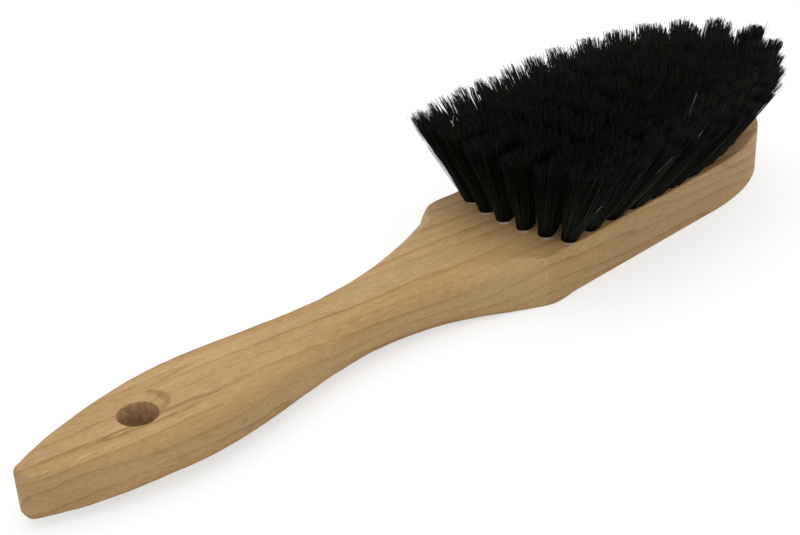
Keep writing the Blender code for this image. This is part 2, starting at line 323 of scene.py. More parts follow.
def outline_normals(points):
    """The outward direction at each outline point; the two ends look along the middle line."""
    along = points[2:] - points[:-2]
    along /= np.linalg.norm(along, axis=1, keepdims=True)
    middle = np.stack([-along[:, 1], along[:, 0]], axis=1)
    return np.concatenate([[[-1.0, 0.0]], middle, [[1.0, 0.0]]])


def back_height(body, x):
    """Height of the underside: zero under the head, above it under the handle."""
    waist_rise = body.head_thickness - body.waist_thickness
    butt_rise = body.head_thickness - body.butt_thickness
    waist_x = butt_x(body) + body.waist_from_butt
    rise = waist_rise * smooth((shoulder_x(body) - x) / body.back_fade)
    return rise + (butt_rise - waist_rise) * smooth((waist_x - x) / body.waist_from_butt)


def edge_radius(body, x, fade_length):
    """Radius of the edges: large on the handle, small on the head and round the butt."""
    fade = smooth((shoulder_x(body) - body.crease_back - x) / fade_length)
    radius = body.head_edge + (body.handle_edge - body.head_edge) * fade
    return body.butt_edge + (radius - body.butt_edge) * smooth((x - butt_x(body)) / body.butt_fade)


# Tuft places

RING_ARC_STEPS = 400
FRONT_SHIFT_PITCHES = 1.6  # row pitches from the nearest front tuft to where the front shift is full


def ring_path(body, drilling, inset):
    """Points of half a drilling ring, from the front row to the nose."""
    outer_half = body.head_width / 2 - drilling.edge_margin
    half = outer_half - inset
    nose_x = body.head_length / 2 - drilling.nose_margin - drilling.nose_run
    reach = drilling.nose_run - inset
    start = shoulder_x(body) + drilling.front_row + drilling.front_row_bow * (half / outer_half) ** 2
    turn = np.linspace(0, math.pi / 2, RING_ARC_STEPS + 1)
    arc = np.stack([nose_x + reach * np.sin(turn), half * np.cos(turn)], axis=1)
    return np.concatenate([[[start, half]], arc])


def spaced_points(path, count):
    """Points at equal distances along a path, ends included."""
    walked = np.concatenate([[0.0], np.cumsum(np.linalg.norm(np.diff(path, axis=0), axis=1))])
    stops = np.linspace(0, walked[-1], count)
    return np.stack([np.interp(stops, walked, path[:, 0]), np.interp(stops, walked, path[:, 1])], axis=1)


def tuft_places(body, drilling, trim_height):
    """Name, root, lean and free side of every tuft. The lean is the sideways run for each unit of height."""
    rings = (
        ("outer", drilling.outer_count),
        ("middle", drilling.middle_count),
        ("inner", drilling.inner_count),
    )
    upright_x = shoulder_x(body) + drilling.upright
    outer_half = body.head_width / 2 - drilling.edge_margin
    shift_width = FRONT_SHIFT_PITCHES * drilling.row_pitch
    places = []
    for ring, (name, count) in enumerate(rings):
        far = spaced_points(ring_path(body, drilling, drilling.row_pitch * ring), count // 2 + 1)
        near = far[-2::-1] * (1, -1)
        around = np.concatenate([far, near])
        along = np.gradient(around, axis=0)
        free = np.stack([-along[:, 1], along[:, 0]], axis=1)
        free /= np.linalg.norm(free, axis=1, keepdims=True)
        for number, ((x, y), side) in enumerate(zip(around, free), start=1):
            at_front = 1 - smooth((x - shoulder_x(body)) / drilling.front_shift_run)
            y -= drilling.front_shift * at_front * smooth((y + outer_half) / shift_width)
            root = Vector((x, y + drilling.offset, body.head_thickness))
            lean_x = (x - upright_x) * (drilling.splay_along - 1) / trim_height
            lean_y = y * (drilling.splay_across - 1) / trim_height
            free_side = side if ring == 0 else np.zeros(2)
            if ring > 0 and number in (1, len(around)):
                free_side = np.array((-1.0, 0.0))
            places.append((f"tuft_{name}_{number:02d}", root, Vector((lean_x, lean_y, 1.0)), free_side))
    return places


# Meshes

WELD = 0.00002  # points nearer than this are one
SLIVER = 0.00001  # edges shorter than this are dropped
ON_FACE = 0.000001  # points nearer than this to a flat face lie on it
NEAR_FACE = 0.00001  # the walls of the holes lie further than this from the flat faces
OVERRUN = 0.002  # how far a cutter sticks out
ROUND_STEPS = 9  # of the upper rounding
BACK_ROUND_STEPS = 6
WALL_STEPS = 8
RIM_STEPS = 4
HANGING_HOLE_SIDES = 64
TUFT_HOLE_SIDES = 18
ROUNDING_REACH = 1.05  # radii that a rounding's mark reaches
ROUNDING_FADE = 0.0008
HOLE_MARGIN_RADII = 1.2  # the walls of the holes lie further than this from the sides, in edge radii
HOLE_MARGIN = 0.0005  # and in metres
HANDLE_MARK_GAP = 0.0005  # from the shoulder to the handle's marks
HANDLE_MARK_FADE = 0.002
LEAST_MARK = 0.01  # the rounding is uneven where its mark is stronger
UNEVENNESS = ((140, 0.00012), (420, 0.00007))  # waves for each metre and their height
UNEVENNESS_STEP = Vector((9, 4, 1))  # keeps the kinds of waves apart


def new_object(name, mesh):
    """An object in the scene's own collection."""
    piece = bpy.data.objects.new(name, mesh)
    bpy.context.scene.collection.objects.link(piece)
    return piece


def apply_modifiers(piece):
    """Bakes a piece's modifiers into its mesh."""
    graph = bpy.context.evaluated_depsgraph_get()
    baked = bpy.data.meshes.new_from_object(piece.evaluated_get(graph))
    old = piece.data
    piece.modifiers.clear()
    piece.data = baked
    baked.name = old.name
    bpy.data.meshes.remove(old)


def body_sections(body):
    """Half the body as rows of points: middle of the top, round both edges, middle of the underside."""
    points = half_outline(body)
    normals = outline_normals(points)
    x = points[:, 0]
    to_butt = 1 - smooth((x - butt_x(body)) / body.butt_fade)
    radius = edge_radius(body, x, body.edge_fade)
    back_radius = edge_radius(body, x, body.back_edge_fade)
    back_radius -= (back_radius - body.butt_back_edge) * to_butt
    low, top = back_height(body, x), body.head_thickness
    flat = body.flat_band * smooth((x - butt_x(body)) / body.hole_from_butt)
    flat = np.minimum(flat, points[:, 1] / 2)
    wall = top - low - radius - back_radius
    # Each row of points: how far it lies inside the outline, its height, and 0 if it is on the middle line
    rows = [(radius, top, 0), (radius + flat, top, 1)]
    for turn in np.linspace(0, math.pi / 2, ROUND_STEPS + 1):
        rows.append((radius * (1 - math.sin(turn)), top - radius * (1 - math.cos(turn)), 1))
    for part in np.linspace(0, 1, WALL_STEPS + 1)[1:-1]:
        rows.append((0 * wall, top - radius - wall * part, 1))
    for turn in np.linspace(math.pi / 2, 0, BACK_ROUND_STEPS + 1):
        rows.append((back_radius * (1 - math.sin(turn)), low + back_radius * (1 - math.cos(turn)), 1))
    rows += [(back_radius + flat, low, 1), (back_radius, low, 0)]
    sections = np.empty((len(points), len(rows), 3))
    for column, (inset, height, beside) in enumerate(rows):
        sections[:, column, :2] = (points - normals * inset[:, None]) * (1, beside)
        sections[:, column, 2] = height
    to_butt = smooth(1 - (sections[:, :, 0] - butt_x(body)) / body.hole_from_butt)
    sections[:, :, 0] += to_butt * body.butt_wear
    return sections


def make_body_mesh(body):
    """The undrilled body, both halves welded along the middle line."""
    sections = body_sections(body)
    rows, across, _ = sections.shape
    index = np.arange(rows * across).reshape(rows, across)
    corners = [index[:-1, :-1], index[:-1, 1:], index[1:, 1:], index[1:, :-1]]
    quads = np.stack(corners, axis=-1).reshape(-1, 4)
    far = sections.reshape(-1, 3)
    near = far * (1, -1, 1)
    mesh = bpy.data.meshes.new("beech_body")
    faces = np.concatenate([quads, quads[:, ::-1] + len(far)])
    mesh.from_pydata(np.concatenate([far, near]).tolist(), [], faces.tolist())
    bm = bmesh.new()
    bm.from_mesh(mesh)
    bmesh.ops.remove_doubles(bm, verts=bm.verts, dist=WELD)
    bmesh.ops.dissolve_degenerate(bm, edges=bm.edges, dist=SLIVER)
    bmesh.ops.recalc_face_normals(bm, faces=bm.faces)
    bm.to_mesh(mesh)
    bm.free()
    return mesh


def cutter_object(name, bm):
    """A cutter from a bmesh, which is freed."""
    mesh = bpy.data.meshes.new(name)
    bm.to_mesh(mesh)
    bm.free()
    return new_object(name, mesh)


def hanging_hole_cutter(body, drilling):
    """The hanging hole with its worn rim: a profile of radius and height, turned round the hole's axis."""
    radius, rim, top = body.hole_diameter / 2, body.hole_rim, body.head_thickness
    bottom = float(back_height(body, hole_x(body)))
    turns = np.linspace(0, math.pi / 2, RIM_STEPS + 1)
    rim_points = [(rim * (1 - math.sin(turn)), rim * (1 - math.cos(turn))) for turn in turns]
    profile = [(0, bottom - OVERRUN), (radius + rim, bottom - OVERRUN)]
    profile += [(radius + out, bottom + up) for out, up in rim_points]
    profile += [(radius + out, top - up) for out, up in reversed(rim_points)]
    profile += [(radius + rim, top + OVERRUN), (0, top + OVERRUN)]
    bm = bmesh.new()
    ring = [bm.verts.new((r, 0, z)) for r, z in profile]
    edges = [bm.edges.new(pair) for pair in zip(ring, ring[1:])]
    bmesh.ops.spin(
        bm, geom=ring + edges, axis=(0, 0, 1), angle=math.tau, steps=HANGING_HOLE_SIDES, use_merge=True
    )
    bmesh.ops.remove_doubles(bm, verts=bm.verts, dist=WELD)
    bmesh.ops.recalc_face_normals(bm, faces=bm.faces)
    bmesh.ops.translate(bm, verts=bm.verts, vec=(hole_x(body), drilling.offset, 0))
    return cutter_object("hanging_hole_cutter", bm)


def tuft_hole_cutter(drilling, places):
    """All the tuft holes as one cutter."""
    radius = drilling.diameter / 2 + drilling.clearance
    depth = drilling.depth + OVERRUN
    bm = bmesh.new()
    for _, root, lean, _ in places:
        made = bmesh.ops.create_cone(
            bm, cap_ends=True, segments=TUFT_HOLE_SIDES, radius1=radius, radius2=radius, depth=depth
        )
        bmesh.ops.translate(bm, verts=made["verts"], vec=(0, 0, (OVERRUN - drilling.depth) / 2))
        frame_of_tuft = lean.to_track_quat("Z", "Y").to_matrix().to_4x4()
        frame_of_tuft.translation = root
        bmesh.ops.transform(bm, verts=made["verts"], matrix=frame_of_tuft)
    return cutter_object("tuft_hole_cutter", bm)


def point_vectors(mesh, name):
    """The places or normals of a mesh's points, one row for each."""
    values = np.zeros(len(mesh.vertices) * 3)
    mesh.vertices.foreach_get(name, values)
    return values.reshape(-1, 3)


def write_values(mesh, name, values):
    """Writes a number on each point of a mesh, for its material."""
    mesh.attributes.new(name, "FLOAT", "POINT").data.foreach_set("value", values.astype(np.float32))


def mark_surface(piece, body, drilling):
    """Marks for the material where the body is rounded, upright or drilled, and roughens the rounding."""
    mesh = piece.data
    points, normals = point_vectors(mesh, "co"), point_vectors(mesh, "normal")
    x, y, z = points.T
    radius = edge_radius(body, x, body.edge_fade)
    low, top = back_height(body, x), body.head_thickness
    outline = half_outline(body)
    half = np.interp(x, outline[:, 0], outline[:, 1])
    inside = (z > low + NEAR_FACE) & (z < top - NEAR_FACE)
    inside &= np.abs(y) < half - radius * HOLE_MARGIN_RADII - HOLE_MARGIN
    from_hole = np.hypot(x - butt_x(body) - body.hole_from_butt, y - drilling.offset)
    inside |= from_hole < body.hole_diameter / 2 + body.hole_rim
    handle = smooth((shoulder_x(body) - HANDLE_MARK_GAP - x) / HANDLE_MARK_FADE)
    reach = radius * ROUNDING_REACH
    at_top = smooth((z - (top - reach)) / ROUNDING_FADE) * (z < top - ON_FACE)
    at_back = smooth(((low + reach) - z) / ROUNDING_FADE) * (z > low + ON_FACE)
    rounding = np.where(inside, 0.0, np.maximum(at_top, at_back) * handle)
    write_values(mesh, "rounding", rounding)
    write_values(mesh, "upright", np.where(inside, 0.0, 1 - np.abs(normals[:, 2])))
    write_values(mesh, "drilled", inside)
    for number in np.nonzero(rounding > LEAST_MARK)[0]:
        place = Vector(points[number])
        for kind, (waves, height) in enumerate(UNEVENNESS):
            worn = noise.noise(place * waves + kind * UNEVENNESS_STEP) * height
            points[number] += normals[number] * worn * rounding[number]
    mesh.vertices.foreach_set("co", points.ravel())
    mesh.update()


def strand_mesh(name, paths, radii, shades, painted_sheens, twists):
    """A mesh of three-sided strands, each along its own path, closed at both ends."""
    strands, rings, _ = paths.shape
    corner = np.arange(STRAND_SIDES)
    turn = corner * (math.tau / STRAND_SIDES) + twists[:, None]
    around = np.stack([np.cos(turn), np.sin(turn), np.zeros_like(turn)], axis=-1)
    points = paths[:, :, None, :] + radii[:, :, None, None] * around[:, None, :, :]
    starts = np.arange(strands)[:, None] * rings * STRAND_SIDES
    ring_starts = (starts + np.arange(rings - 1) * STRAND_SIDES)[:, :, None]
    low, beside = ring_starts + corner, ring_starts + (corner + 1) % STRAND_SIDES
    sides = np.stack([low, beside, beside + STRAND_SIDES, low + STRAND_SIDES], axis=-1).reshape(-1, 4)
    feet, tips = starts + corner[::-1], starts + (rings - 1) * STRAND_SIDES + corner
    mesh = bpy.data.meshes.new(name)
    mesh.from_pydata(points.reshape(-1, 3).tolist(), [], sides.tolist() + feet.tolist() + tips.tolist())
    mesh.shade_smooth()
    write_values(mesh, "shade", np.repeat(shades, rings * STRAND_SIDES))
    write_values(mesh, "silver", np.repeat(painted_sheens, rings * STRAND_SIDES))
    write_values(mesh, "along", np.tile(np.repeat(np.linspace(0, 1, rings), STRAND_SIDES), strands))
    return mesh


# How the bristles of a tuft stand

# Lengths and places are in metres. A fade is where along the brush a change starts, and its length.
STRAND_SIDES = 3
STRAND_RINGS = 6
RING_POWER = 0.9  # below 1, the rings stand closer at the tip
TAPER_STOPS = (0, 0.7, 1)
TAPER = (1, 0.95, 0.6)  # thickness at those parts of a strand
GOLDEN_TURN = math.pi * (3 - math.sqrt(5))
FOOT_RANGE = (0.92, 1.06)  # of a foot's distance from the tuft's middle
TUFT_RANGE = (0.94, 1.06)  # of a tuft's spread
RADIUS_RANGE = (0.75, 1.25)  # of a strand's radius
SHORT_RANGE = (0.0005, 0.004)  # what a short strand lacks
CLUMPS = 10
CLUMP_PULL = 0.3  # how far a strand is drawn to its clump
INNER_CLUMP_PULL = 0.15
BOW = 1.3  # power with which a strand leaves its tuft's line as it rises: 1 is straight
FRONT_BOW = 1.45
FRONT_BOW_FALL = 1.1  # towards the inner side of a front tuft
FRONT_BOW_POWER = 0.7
NEAR_BOW_FALL = 0.45  # in a tuft of the near side
NEAR_BOW_GROWTH = 0.25  # further fall along the brush
NEAR_BOW_FADE = (-0.05, 0.03)
INNER_BOW = 0.35  # the least in an inner tuft, where 1 is the most
FRONT_INNER_BOW = 0.12
FRONT_INNER_END = -0.034  # how far along the brush the inner tufts count as front ones
INNER_SCATTER = 0.0016
SIDE_WIDENING = 0.2  # of the side tufts along the brush
FAN_POWER = 1.5
FRONT_INWARD = 0.5  # how much more the front tufts lean inwards
CORNER_LOSS = 0.5  # what a far tuft beside the front row loses of its fan
CORNER_FADE = (-0.048, -0.008)
NOSE_DRAW = 0.0006  # how far the near tips at the nose are drawn in
NOSE_REACH = 0.0026  # how far the foremost tips reach on
SWEEP_SHARE = 0.55  # of the near side's sweep, at the front
SWEEP_GROWTH = 0.6
SWEEP_FADE = (-0.062, 0.04)
SWEEP_INSIDE = 0.35  # share of the sweep that the inner half of a tuft has
NOSE_LEAN_START = -0.03
STRAY_CURLS = 3.0  # curls that a stray tip stands away
BEND_CURLS = 0.8  # curls that a strand bends
BEND_SHARE = 0.8  # share of the bend at half height
# Painted sheen, for the light that the strands catch: some in every tuft, more where a side is free
PAINTED_SHEEN = 0.15  # in every tuft, and added where a side is free
NEAR_PAINTED_SHEEN = 0.85
FAR_PAINTED_SHEEN = 0.35
FRONT_PAINTED_SHEEN = 0.15
HALF_FREE = 0.5  # a tuft stands at the side towards which it is more free than this


def grown(x, fade):
    """How far a change has grown at x. fade is where it starts and the length in which it grows."""
    return float(smooth((x - fade[0]) / fade[1]))


def strand_feet(drilling, count, rng):
    """Where each strand leaves the hole, from the tuft's middle, and the clump that it is drawn to."""
    number = np.arange(count)
    turn = number * GOLDEN_TURN + rng.uniform(0, math.tau)
    reach = drilling.diameter / 2 * np.sqrt((number + 0.5) / count) * rng.uniform(*FOOT_RANGE, count)
    foot = np.stack([reach * np.cos(turn), reach * np.sin(turn)], axis=1)
    clumps = foot[rng.choice(count, CLUMPS, replace=False)]
    return foot, clumps[np.argmin(np.linalg.norm(foot[:, None] - clumps[None], axis=2), axis=1)]


def tuft_stance(root, sides, inward, to_nose, bristle, rng):
    """A tuft's spread, the scatter of its tips, its strands' bow and how far it fans to the far side."""
    front, near, far = sides
    spread, scatter, bow = bristle.spread, bristle.curl, BOW
    if not inward.any():
        spread, scatter = bristle.inner_spread, INNER_SCATTER
        least = FRONT_INNER_BOW if root.x < FRONT_INNER_END else INNER_BOW
        bow = rng.uniform(least, 1.0, len(inward))[:, None]
    elif front > HALF_FREE:
        spread, bow = bristle.front_spread, (FRONT_BOW - FRONT_BOW_FALL * inward**FRONT_BOW_POWER)[:, None]
    elif far > HALF_FREE:
        at_corner = grown(root.x, CORNER_FADE)
        spread = bristle.far_spread + (bristle.nose_spread - bristle.far_spread) * to_nose
        spread += (bristle.front_spread - bristle.far_spread) * at_corner
        far -= CORNER_LOSS * at_corner
    else:
        spread += (bristle.nose_spread - bristle.spread) * to_nose
        bow -= (NEAR_BOW_FALL + NEAR_BOW_GROWTH * grown(root.x, NEAR_BOW_FADE)) * near * (1 - to_nose)
    return spread, scatter, bow, far


def tuft_strands(root, lean, free_side, own_lean, drilling, bristle, rng):
    """Paths, radii and painted sheen of a tuft's strands. free_side points to where no neighbour holds them.
    """
    count, trim, inner = bristle.strand_count, bristle.trim_height, not free_side.any()
    foot, clump = strand_feet(drilling, count, rng)
    front, near, far = (max(0.0, float(side)) for side in (-free_side[0], -free_side[1], free_side[1]))
    outward = np.clip(foot @ free_side / (drilling.diameter / 2), 0, None)
    inward = np.clip(-foot @ free_side / (drilling.diameter / 2), 0, 1)
    to_nose = grown(root.x, (bristle.sweep_end, bristle.sweep_fade))
    spread, scatter, bow, far = tuft_stance(root, (front, near, far), inward, to_nose, bristle, rng)
    spread *= own_lean[2] * rng.uniform(*TUFT_RANGE)

    # Tips, from the tuft's line
    tip = foot * spread + (clump - foot) * spread * (INNER_CLUMP_PULL if inner else CLUMP_PULL)
    tip[:, 0] *= 1 + SIDE_WIDENING * max(near, far) * (1 - to_nose)
    tip += rng.normal(0, scatter, (count, 2))
    tip += (outward**FAN_POWER)[:, None] * free_side * bristle.fan * far
    tip -= inward[:, None] * free_side * bristle.inward * (1 + FRONT_INWARD * front)
    tip -= to_nose * near * NOSE_DRAW * free_side
    tip[:, 0] += to_nose * max(0.0, float(free_side[0])) * NOSE_REACH
    swept = near * (1 - to_nose) * (SWEEP_SHARE + SWEEP_GROWTH * grown(root.x, SWEEP_FADE))
    tip += swept * np.array(bristle.sweep[:2]) * (SWEEP_INSIDE + outward)[:, None]
    far_half = float(smooth(root.y / drilling.row_pitch))
    tip[:, 0] += bristle.nose_lean * far_half * grown(root.x, (NOSE_LEAN_START, bristle.nose_lean_run))
    tip += own_lean[:2]
    stray = rng.random(count) < bristle.stray_share
    tip += stray[:, None] * rng.normal(0, bristle.curl * STRAY_CURLS, (count, 2))

    # Heights: trimmed flat, except where a bristle is short or too slanted to reach the trim
    height = trim + rng.normal(0, bristle.trim_scatter, count)
    height -= (rng.random(count) < bristle.short_share) * rng.uniform(*SHORT_RANGE, count)
    slant = np.array((lean.x, lean.y))
    whole = np.sqrt(trim**2 + np.sum((tip + slant * trim) ** 2, axis=1))
    longest = bristle.longest + (bristle.near_longest - bristle.longest) * near
    height *= np.minimum(1.0, longest / whole)

    # Paths
    stops = np.linspace(0, 1, STRAND_RINGS)
    z = -bristle.sunk + (height + bristle.sunk)[:, None] * stops**RING_POWER
    part = np.clip(z / trim, 0, None)
    bend = rng.normal(0, bristle.curl * BEND_CURLS, (count, 2))
    offset = foot[:, None] + (tip - foot)[:, None] * (part**bow)[:, :, None]
    offset += bend[:, None] * (np.sin(part * math.pi) * BEND_SHARE)[:, :, None]
    paths = np.empty((count, STRAND_RINGS, 3))
    paths[:, :, :2] = (root.x, root.y) + slant * z[:, :, None] + offset
    paths[:, :, 2] = root.z + z
    taper = np.interp(stops, TAPER_STOPS, TAPER)
    radii = bristle.strand_radius * rng.uniform(*RADIUS_RANGE, count)[:, None] * taper
    # Painted sheen, strongest on the near side
    silver = PAINTED_SHEEN + NEAR_PAINTED_SHEEN * near + FAR_PAINTED_SHEEN * far + FRONT_PAINTED_SHEEN * front
    return paths, radii, silver * rng.random(count) ** 2


def add_loose_bristles(node, paths, radii, shades, painted_sheens):
    """The strands of a tuft, with the loose bristles that it holds."""
    rings = paths.shape[1]
    for owner, points, radius, shade in LOOSE_BRISTLES:
        if owner == node:
            stops = np.linspace(0, len(points) - 1, rings)
            path = [np.interp(stops, np.arange(len(points)), axis) for axis in np.array(points).T]
            paths = np.concatenate([paths, np.stack(path, axis=1)[None]])
            radii = np.concatenate([radii, np.full((1, rings), radius)])
            shades, painted_sheens = np.append(shades, shade), np.append(painted_sheens, 0.0)
    return paths, radii, shades, painted_sheens


# Materials


class NodeBench:
    """Adds and joins the nodes of one material, or of the world."""

    def __init__(self, owner, shader="Principled BSDF"):
        owner.use_nodes = True
        self.owner = owner
        self.tree = owner.node_tree
        self.shader = self.tree.nodes[shader]

    def join(self, value, socket):
        """Sets a socket to a value, or links it to another node's output."""
        if isinstance(value, bpy.types.NodeSocket):
            self.tree.links.new(value, socket)
        elif socket.type == "RGBA":
            socket.default_value = (*tuple(value)[:3], 1.0)
        else:
            socket.default_value = value

    def fill_shader(self, inputs):
        """Sets or links sockets of the shader, and gives the material or world back."""
        for name, value in inputs.items():
            self.join(value, self.shader.inputs[name])
        return self.owner

    def add(self, kind, inputs=(), output=0, **settings):
        """Adds a node with settings and inputs, and returns one of its outputs."""
        node = self.tree.nodes.new(kind)
        for key, value in settings.items():
            setattr(node, key, value)
        for key, value in dict(inputs).items():
            self.join(value, node.inputs[key])
        return node.outputs[output]

    def math(self, operation, first, second=0.0, third=0.0):
        """One Math node."""
        return self.add("ShaderNodeMath", {0: first, 1: second, 2: third}, operation=operation)

    def times(self, first, second):
        """The product of two values."""
        return self.math("MULTIPLY", first, second)

    def most(self, first, second):
        """The larger of two values."""
        return self.math("MAXIMUM", first, second)

    def vector_math(self, operation, first, second=(0.0, 0.0, 0.0), output=0):
        """One Vector Math node. Output 1 is the number that a dot product or a length gives."""
        return self.add("ShaderNodeVectorMath", {0: first, 1: second}, output, operation=operation)

    def mix(self, part, first, second):
        """Mixes two colours."""
        return self.add("ShaderNodeMix", {0: part, 6: first, 7: second}, 2, data_type="RGBA")

    def scale(self, tone, by):
        """Makes a colour lighter or darker."""
        if not isinstance(tone, bpy.types.NodeSocket):
            tone = tuple(tone)
        return self.add("ShaderNodeVectorMath", {0: tone, 3: by}, operation="SCALE")

    def ramp(self, value, low, high, start=0.0, end=1.0):
        """Maps a range of values smoothly onto another."""
        limits = {"Value": value, 1: low, 2: high, 3: start, 4: end}
        return self.add("ShaderNodeMapRange", limits, interpolation_type="SMOOTHSTEP")

    def noise(self, vector, along, across, detail=2.0, rough=0.5):
        """Noise drawn out along the first axis: so many cycles for each metre along it and across it."""
        drawn = self.vector_math("MULTIPLY", vector, (along, across, across))
        inputs = {"Vector": drawn, "Scale": 1.0, "Detail": detail, "Roughness": rough}
        return self.add("ShaderNodeTexNoise", inputs)

    def patterns(self, vector, table):
        """The noises of a table, each with a part of it spread over other values."""
        return {name: self.ramp(self.noise(vector, *row[:4]), *row[4:]) for name, row in table.items()}

    def attribute(self, name):
        """A value written on the mesh."""
        return self.add("ShaderNodeAttribute", output=2, attribute_name=name)

    def rays(self, *names):
        """1 for rays of the named kinds, 0 for others."""
        path = self.add("ShaderNodeLightPath").node
        seen = 0.0
        for name in names:
            seen = self.most(path.outputs[name], seen)
        return seen


# Shades at which a bristle turns brown, grey or white, and the shade of one that is all of that colour
ODD_SHADES = {"brown": (0.984, 0.988), "grey": (0.995, 0.9975), "white": (1.2, 1.8)}
BROWN_SHADE, GREY_SHADE, WHITE_SHADE = 0.990, 0.9975, 2.0

# Share of brown bristles in the tufts that have more of them
BROWN_SHARES = {"tuft_middle_01": 0.05, "tuft_inner_01": 0.02, "tuft_inner_15": 0.02}

# Tufts that lean away from their neighbours: how far their tips stand along and across, and their width
LEANING_TUFTS = {
    "tuft_outer_11": (-0.0011, -0.0012, 1.0),
    "tuft_outer_12": (-0.0022, -0.0024, 1.0),
    "tuft_outer_13": (0.0015, -0.0014, 0.8),
    "tuft_outer_16": (-0.0003, -0.0018, 1.0),
    "tuft_outer_17": (-0.0005, 0.0013, 1.0),
    "tuft_outer_18": (-0.0010, 0.0024, 1.0),
    "tuft_outer_19": (-0.0010, 0.0022, 1.0),
    "tuft_outer_20": (-0.0008, 0.0015, 1.0),
    "tuft_outer_21": (-0.0004, 0.0008, 1.0),
    "tuft_middle_10": (-0.0010, 0.0008, 0.45),
}

# Loose bristles: the tuft that holds each, its path, radius and shade
LOOSE_BRISTLES = (
    ("tuft_outer_24", ((-0.0341, -0.0409, 0.0383), (-0.0286, -0.0440, 0.0439)), 0.00011, WHITE_SHADE),
    ("tuft_outer_25", ((-0.0615, -0.0335, 0.0278), (-0.0583, -0.0384, 0.0353)), 0.00010, GREY_SHADE),
    ("tuft_outer_25", ((-0.0594, -0.0370, 0.0330), (-0.0583, -0.0385, 0.0353)), 0.00013, WHITE_SHADE),
    ("tuft_outer_20", ((-0.0050, -0.0318, 0.0463), (0.0076, -0.0256, 0.0490)), 0.00008, WHITE_SHADE),
    ("tuft_outer_21", ((-0.0172, -0.0450, 0.0472), (-0.0157, -0.0451, 0.0485)), 0.00011, WHITE_SHADE),
    ("tuft_outer_02", ((-0.0630, 0.0226, 0.0458), (-0.0603, 0.0248, 0.0489)), 0.00016, WHITE_SHADE),
    (
        "tuft_outer_18",
        (
            (0.0200, -0.0252, 0.0184),
            (0.0210, -0.0268, 0.0183),
            (0.0224, -0.0283, 0.0174),
            (0.0259, -0.0284, 0.0156),
            (0.0292, -0.0280, 0.0139),
            (0.0345, -0.0274, 0.0113),
        ),
        0.00010,
        BROWN_SHADE,
    ),
)

# Distance from a mark's middle, for its half size, at which it starts to show and at which it is full
MARK_EDGE = (1.1, 0.35)

# Marks on the wood: middle, half length, half width, turn about Y and about Z, and strength
DARK_MARKS = (
    ((-0.1895, -0.0178, 0.0106), 0.0018, 0.0004, -0.43, 0.0, 0.8),
    ((-0.1498, -0.0038, 0.0180), 0.0011, 0.0003, 0.0, -0.2, 0.7),
    ((-0.2474, -0.0058, 0.0130), 0.0020, 0.0004, 0.1, -0.4, 0.6),
    ((-0.2375, -0.0099, 0.0100), 0.0022, 0.0004, 0.1, -0.3, 0.45),
    ((-0.2044, 0.0013, 0.0180), 0.0016, 0.0010, 0.0, 0.5, 0.6),
    ((-0.2052, 0.0052, 0.0180), 0.0016, 0.0005, 0.0, 0.3, 0.4),
)
WARM_MARKS = (
    ((-0.1393, -0.0087, 0.0174), 0.0045, 0.0016, 0.0, 0.1, 0.8),
    ((-0.1480, -0.0098, 0.0172), 0.0060, 0.0012, 0.0, 0.1, 0.6),
    ((-0.1940, -0.0159, 0.0169), 0.0030, 0.0011, 0.0, 0.0, 0.5),
    ((-0.2030, -0.0155, 0.0170), 0.0025, 0.0012, 0.0, 0.2, 0.6),
    ((-0.2210, -0.0130, 0.0171), 0.0028, 0.0010, 0.0, -0.3, 0.6),
    ((-0.2408, -0.0078, 0.0173), 0.0022, 0.0012, 0.0, -0.4, 0.7),
    ((-0.0690, -0.0262, 0.0180), 0.0080, 0.0006, 0.0, 0.06, 0.9),
)
PALE_MARKS = (
    ((-0.2495, -0.0036, 0.0175), 0.0018, 0.0004, 0.0, -0.5, 0.5),
    ((-0.2465, -0.0050, 0.0175), 0.0014, 0.0004, 0.0, -0.1, 0.5),
    ((-0.2440, -0.0068, 0.0172), 0.0030, 0.0005, 0.0, -0.35, 0.5),
    ((-0.2350, -0.0075, 0.0178), 0.0050, 0.0005, 0.0, -0.1, 0.4),
    ((-0.2004, -0.0086, 0.0180), 0.0120, 0.0012, 0.0, -0.17, 0.28),
    ((-0.2218, -0.0038, 0.0180), 0.0060, 0.0008, 0.0, -0.22, 0.25),
    ((-0.0020, -0.0262, 0.0180), 0.0016, 0.0006, 0.0, 0.2, 0.9),
    ((0.0090, -0.0264, 0.0180), 0.0018, 0.0006, 0.0, 0.2, 1.0),
    ((-0.0634, -0.0277, 0.0180), 0.0045, 0.0006, 0.0, -0.1, 0.9),
)


# A torn rim beside a front tuft
TORN_RIM_BACK = 0.0022  # from the tuft's middle to the rim's, backwards and to the near side
TORN_RIM_SHAPE = (0.0020, 0.0009, 0.0, -0.75, 0.85)  # as in the tables of marks
FRONT_ROW_DEPTH = 0.005

# Patterns of the wood: cycles for each metre along the grain and across it, the noise's detail and roughness,
# the part of it that shows, and the values at the ends of that part
GRAIN_PATTERNS = {
    "warm": (9, 60, 3.0, 0.5, 0.42, 0.66, 0.0, 0.35),
    "broken": (130, 900, 2.0, 0.5, 0.35, 0.6, 0.45, 1.0),
    "blotch": (14, 60, 3.0, 0.5, 0.3, 0.7, 0.94, 1.05),
    "fibre": (170, 2200, 3.0, 0.65, 0.25, 0.75, 0.88, 1.11),
    "mottle": (500, 1300, 3.0, 0.7, 0.3, 0.7, 0.92, 1.07),
    "fleck": (260, 1500, 2.0, 0.5, 0.64, 0.74, 0.0, 0.5),
    "rough": (60, 900, 2.0, 0.5, 0.3, 0.7, 0.58, 0.74),
}
# The same for what runs along the brush and not along the grain
PLACE_PATTERNS = {
    "strokes": (1500, 260, 2.0, 0.5, 0.42, 0.75, 0.0, 1.0),
    "worn": (200, 900, 4.0, 0.6, 0.48, 0.75, 0.0, 0.30),
    "frayed": (1100, 1100, 2.0, 0.5, 0.38, 0.58, 0.15, 1.0),
}

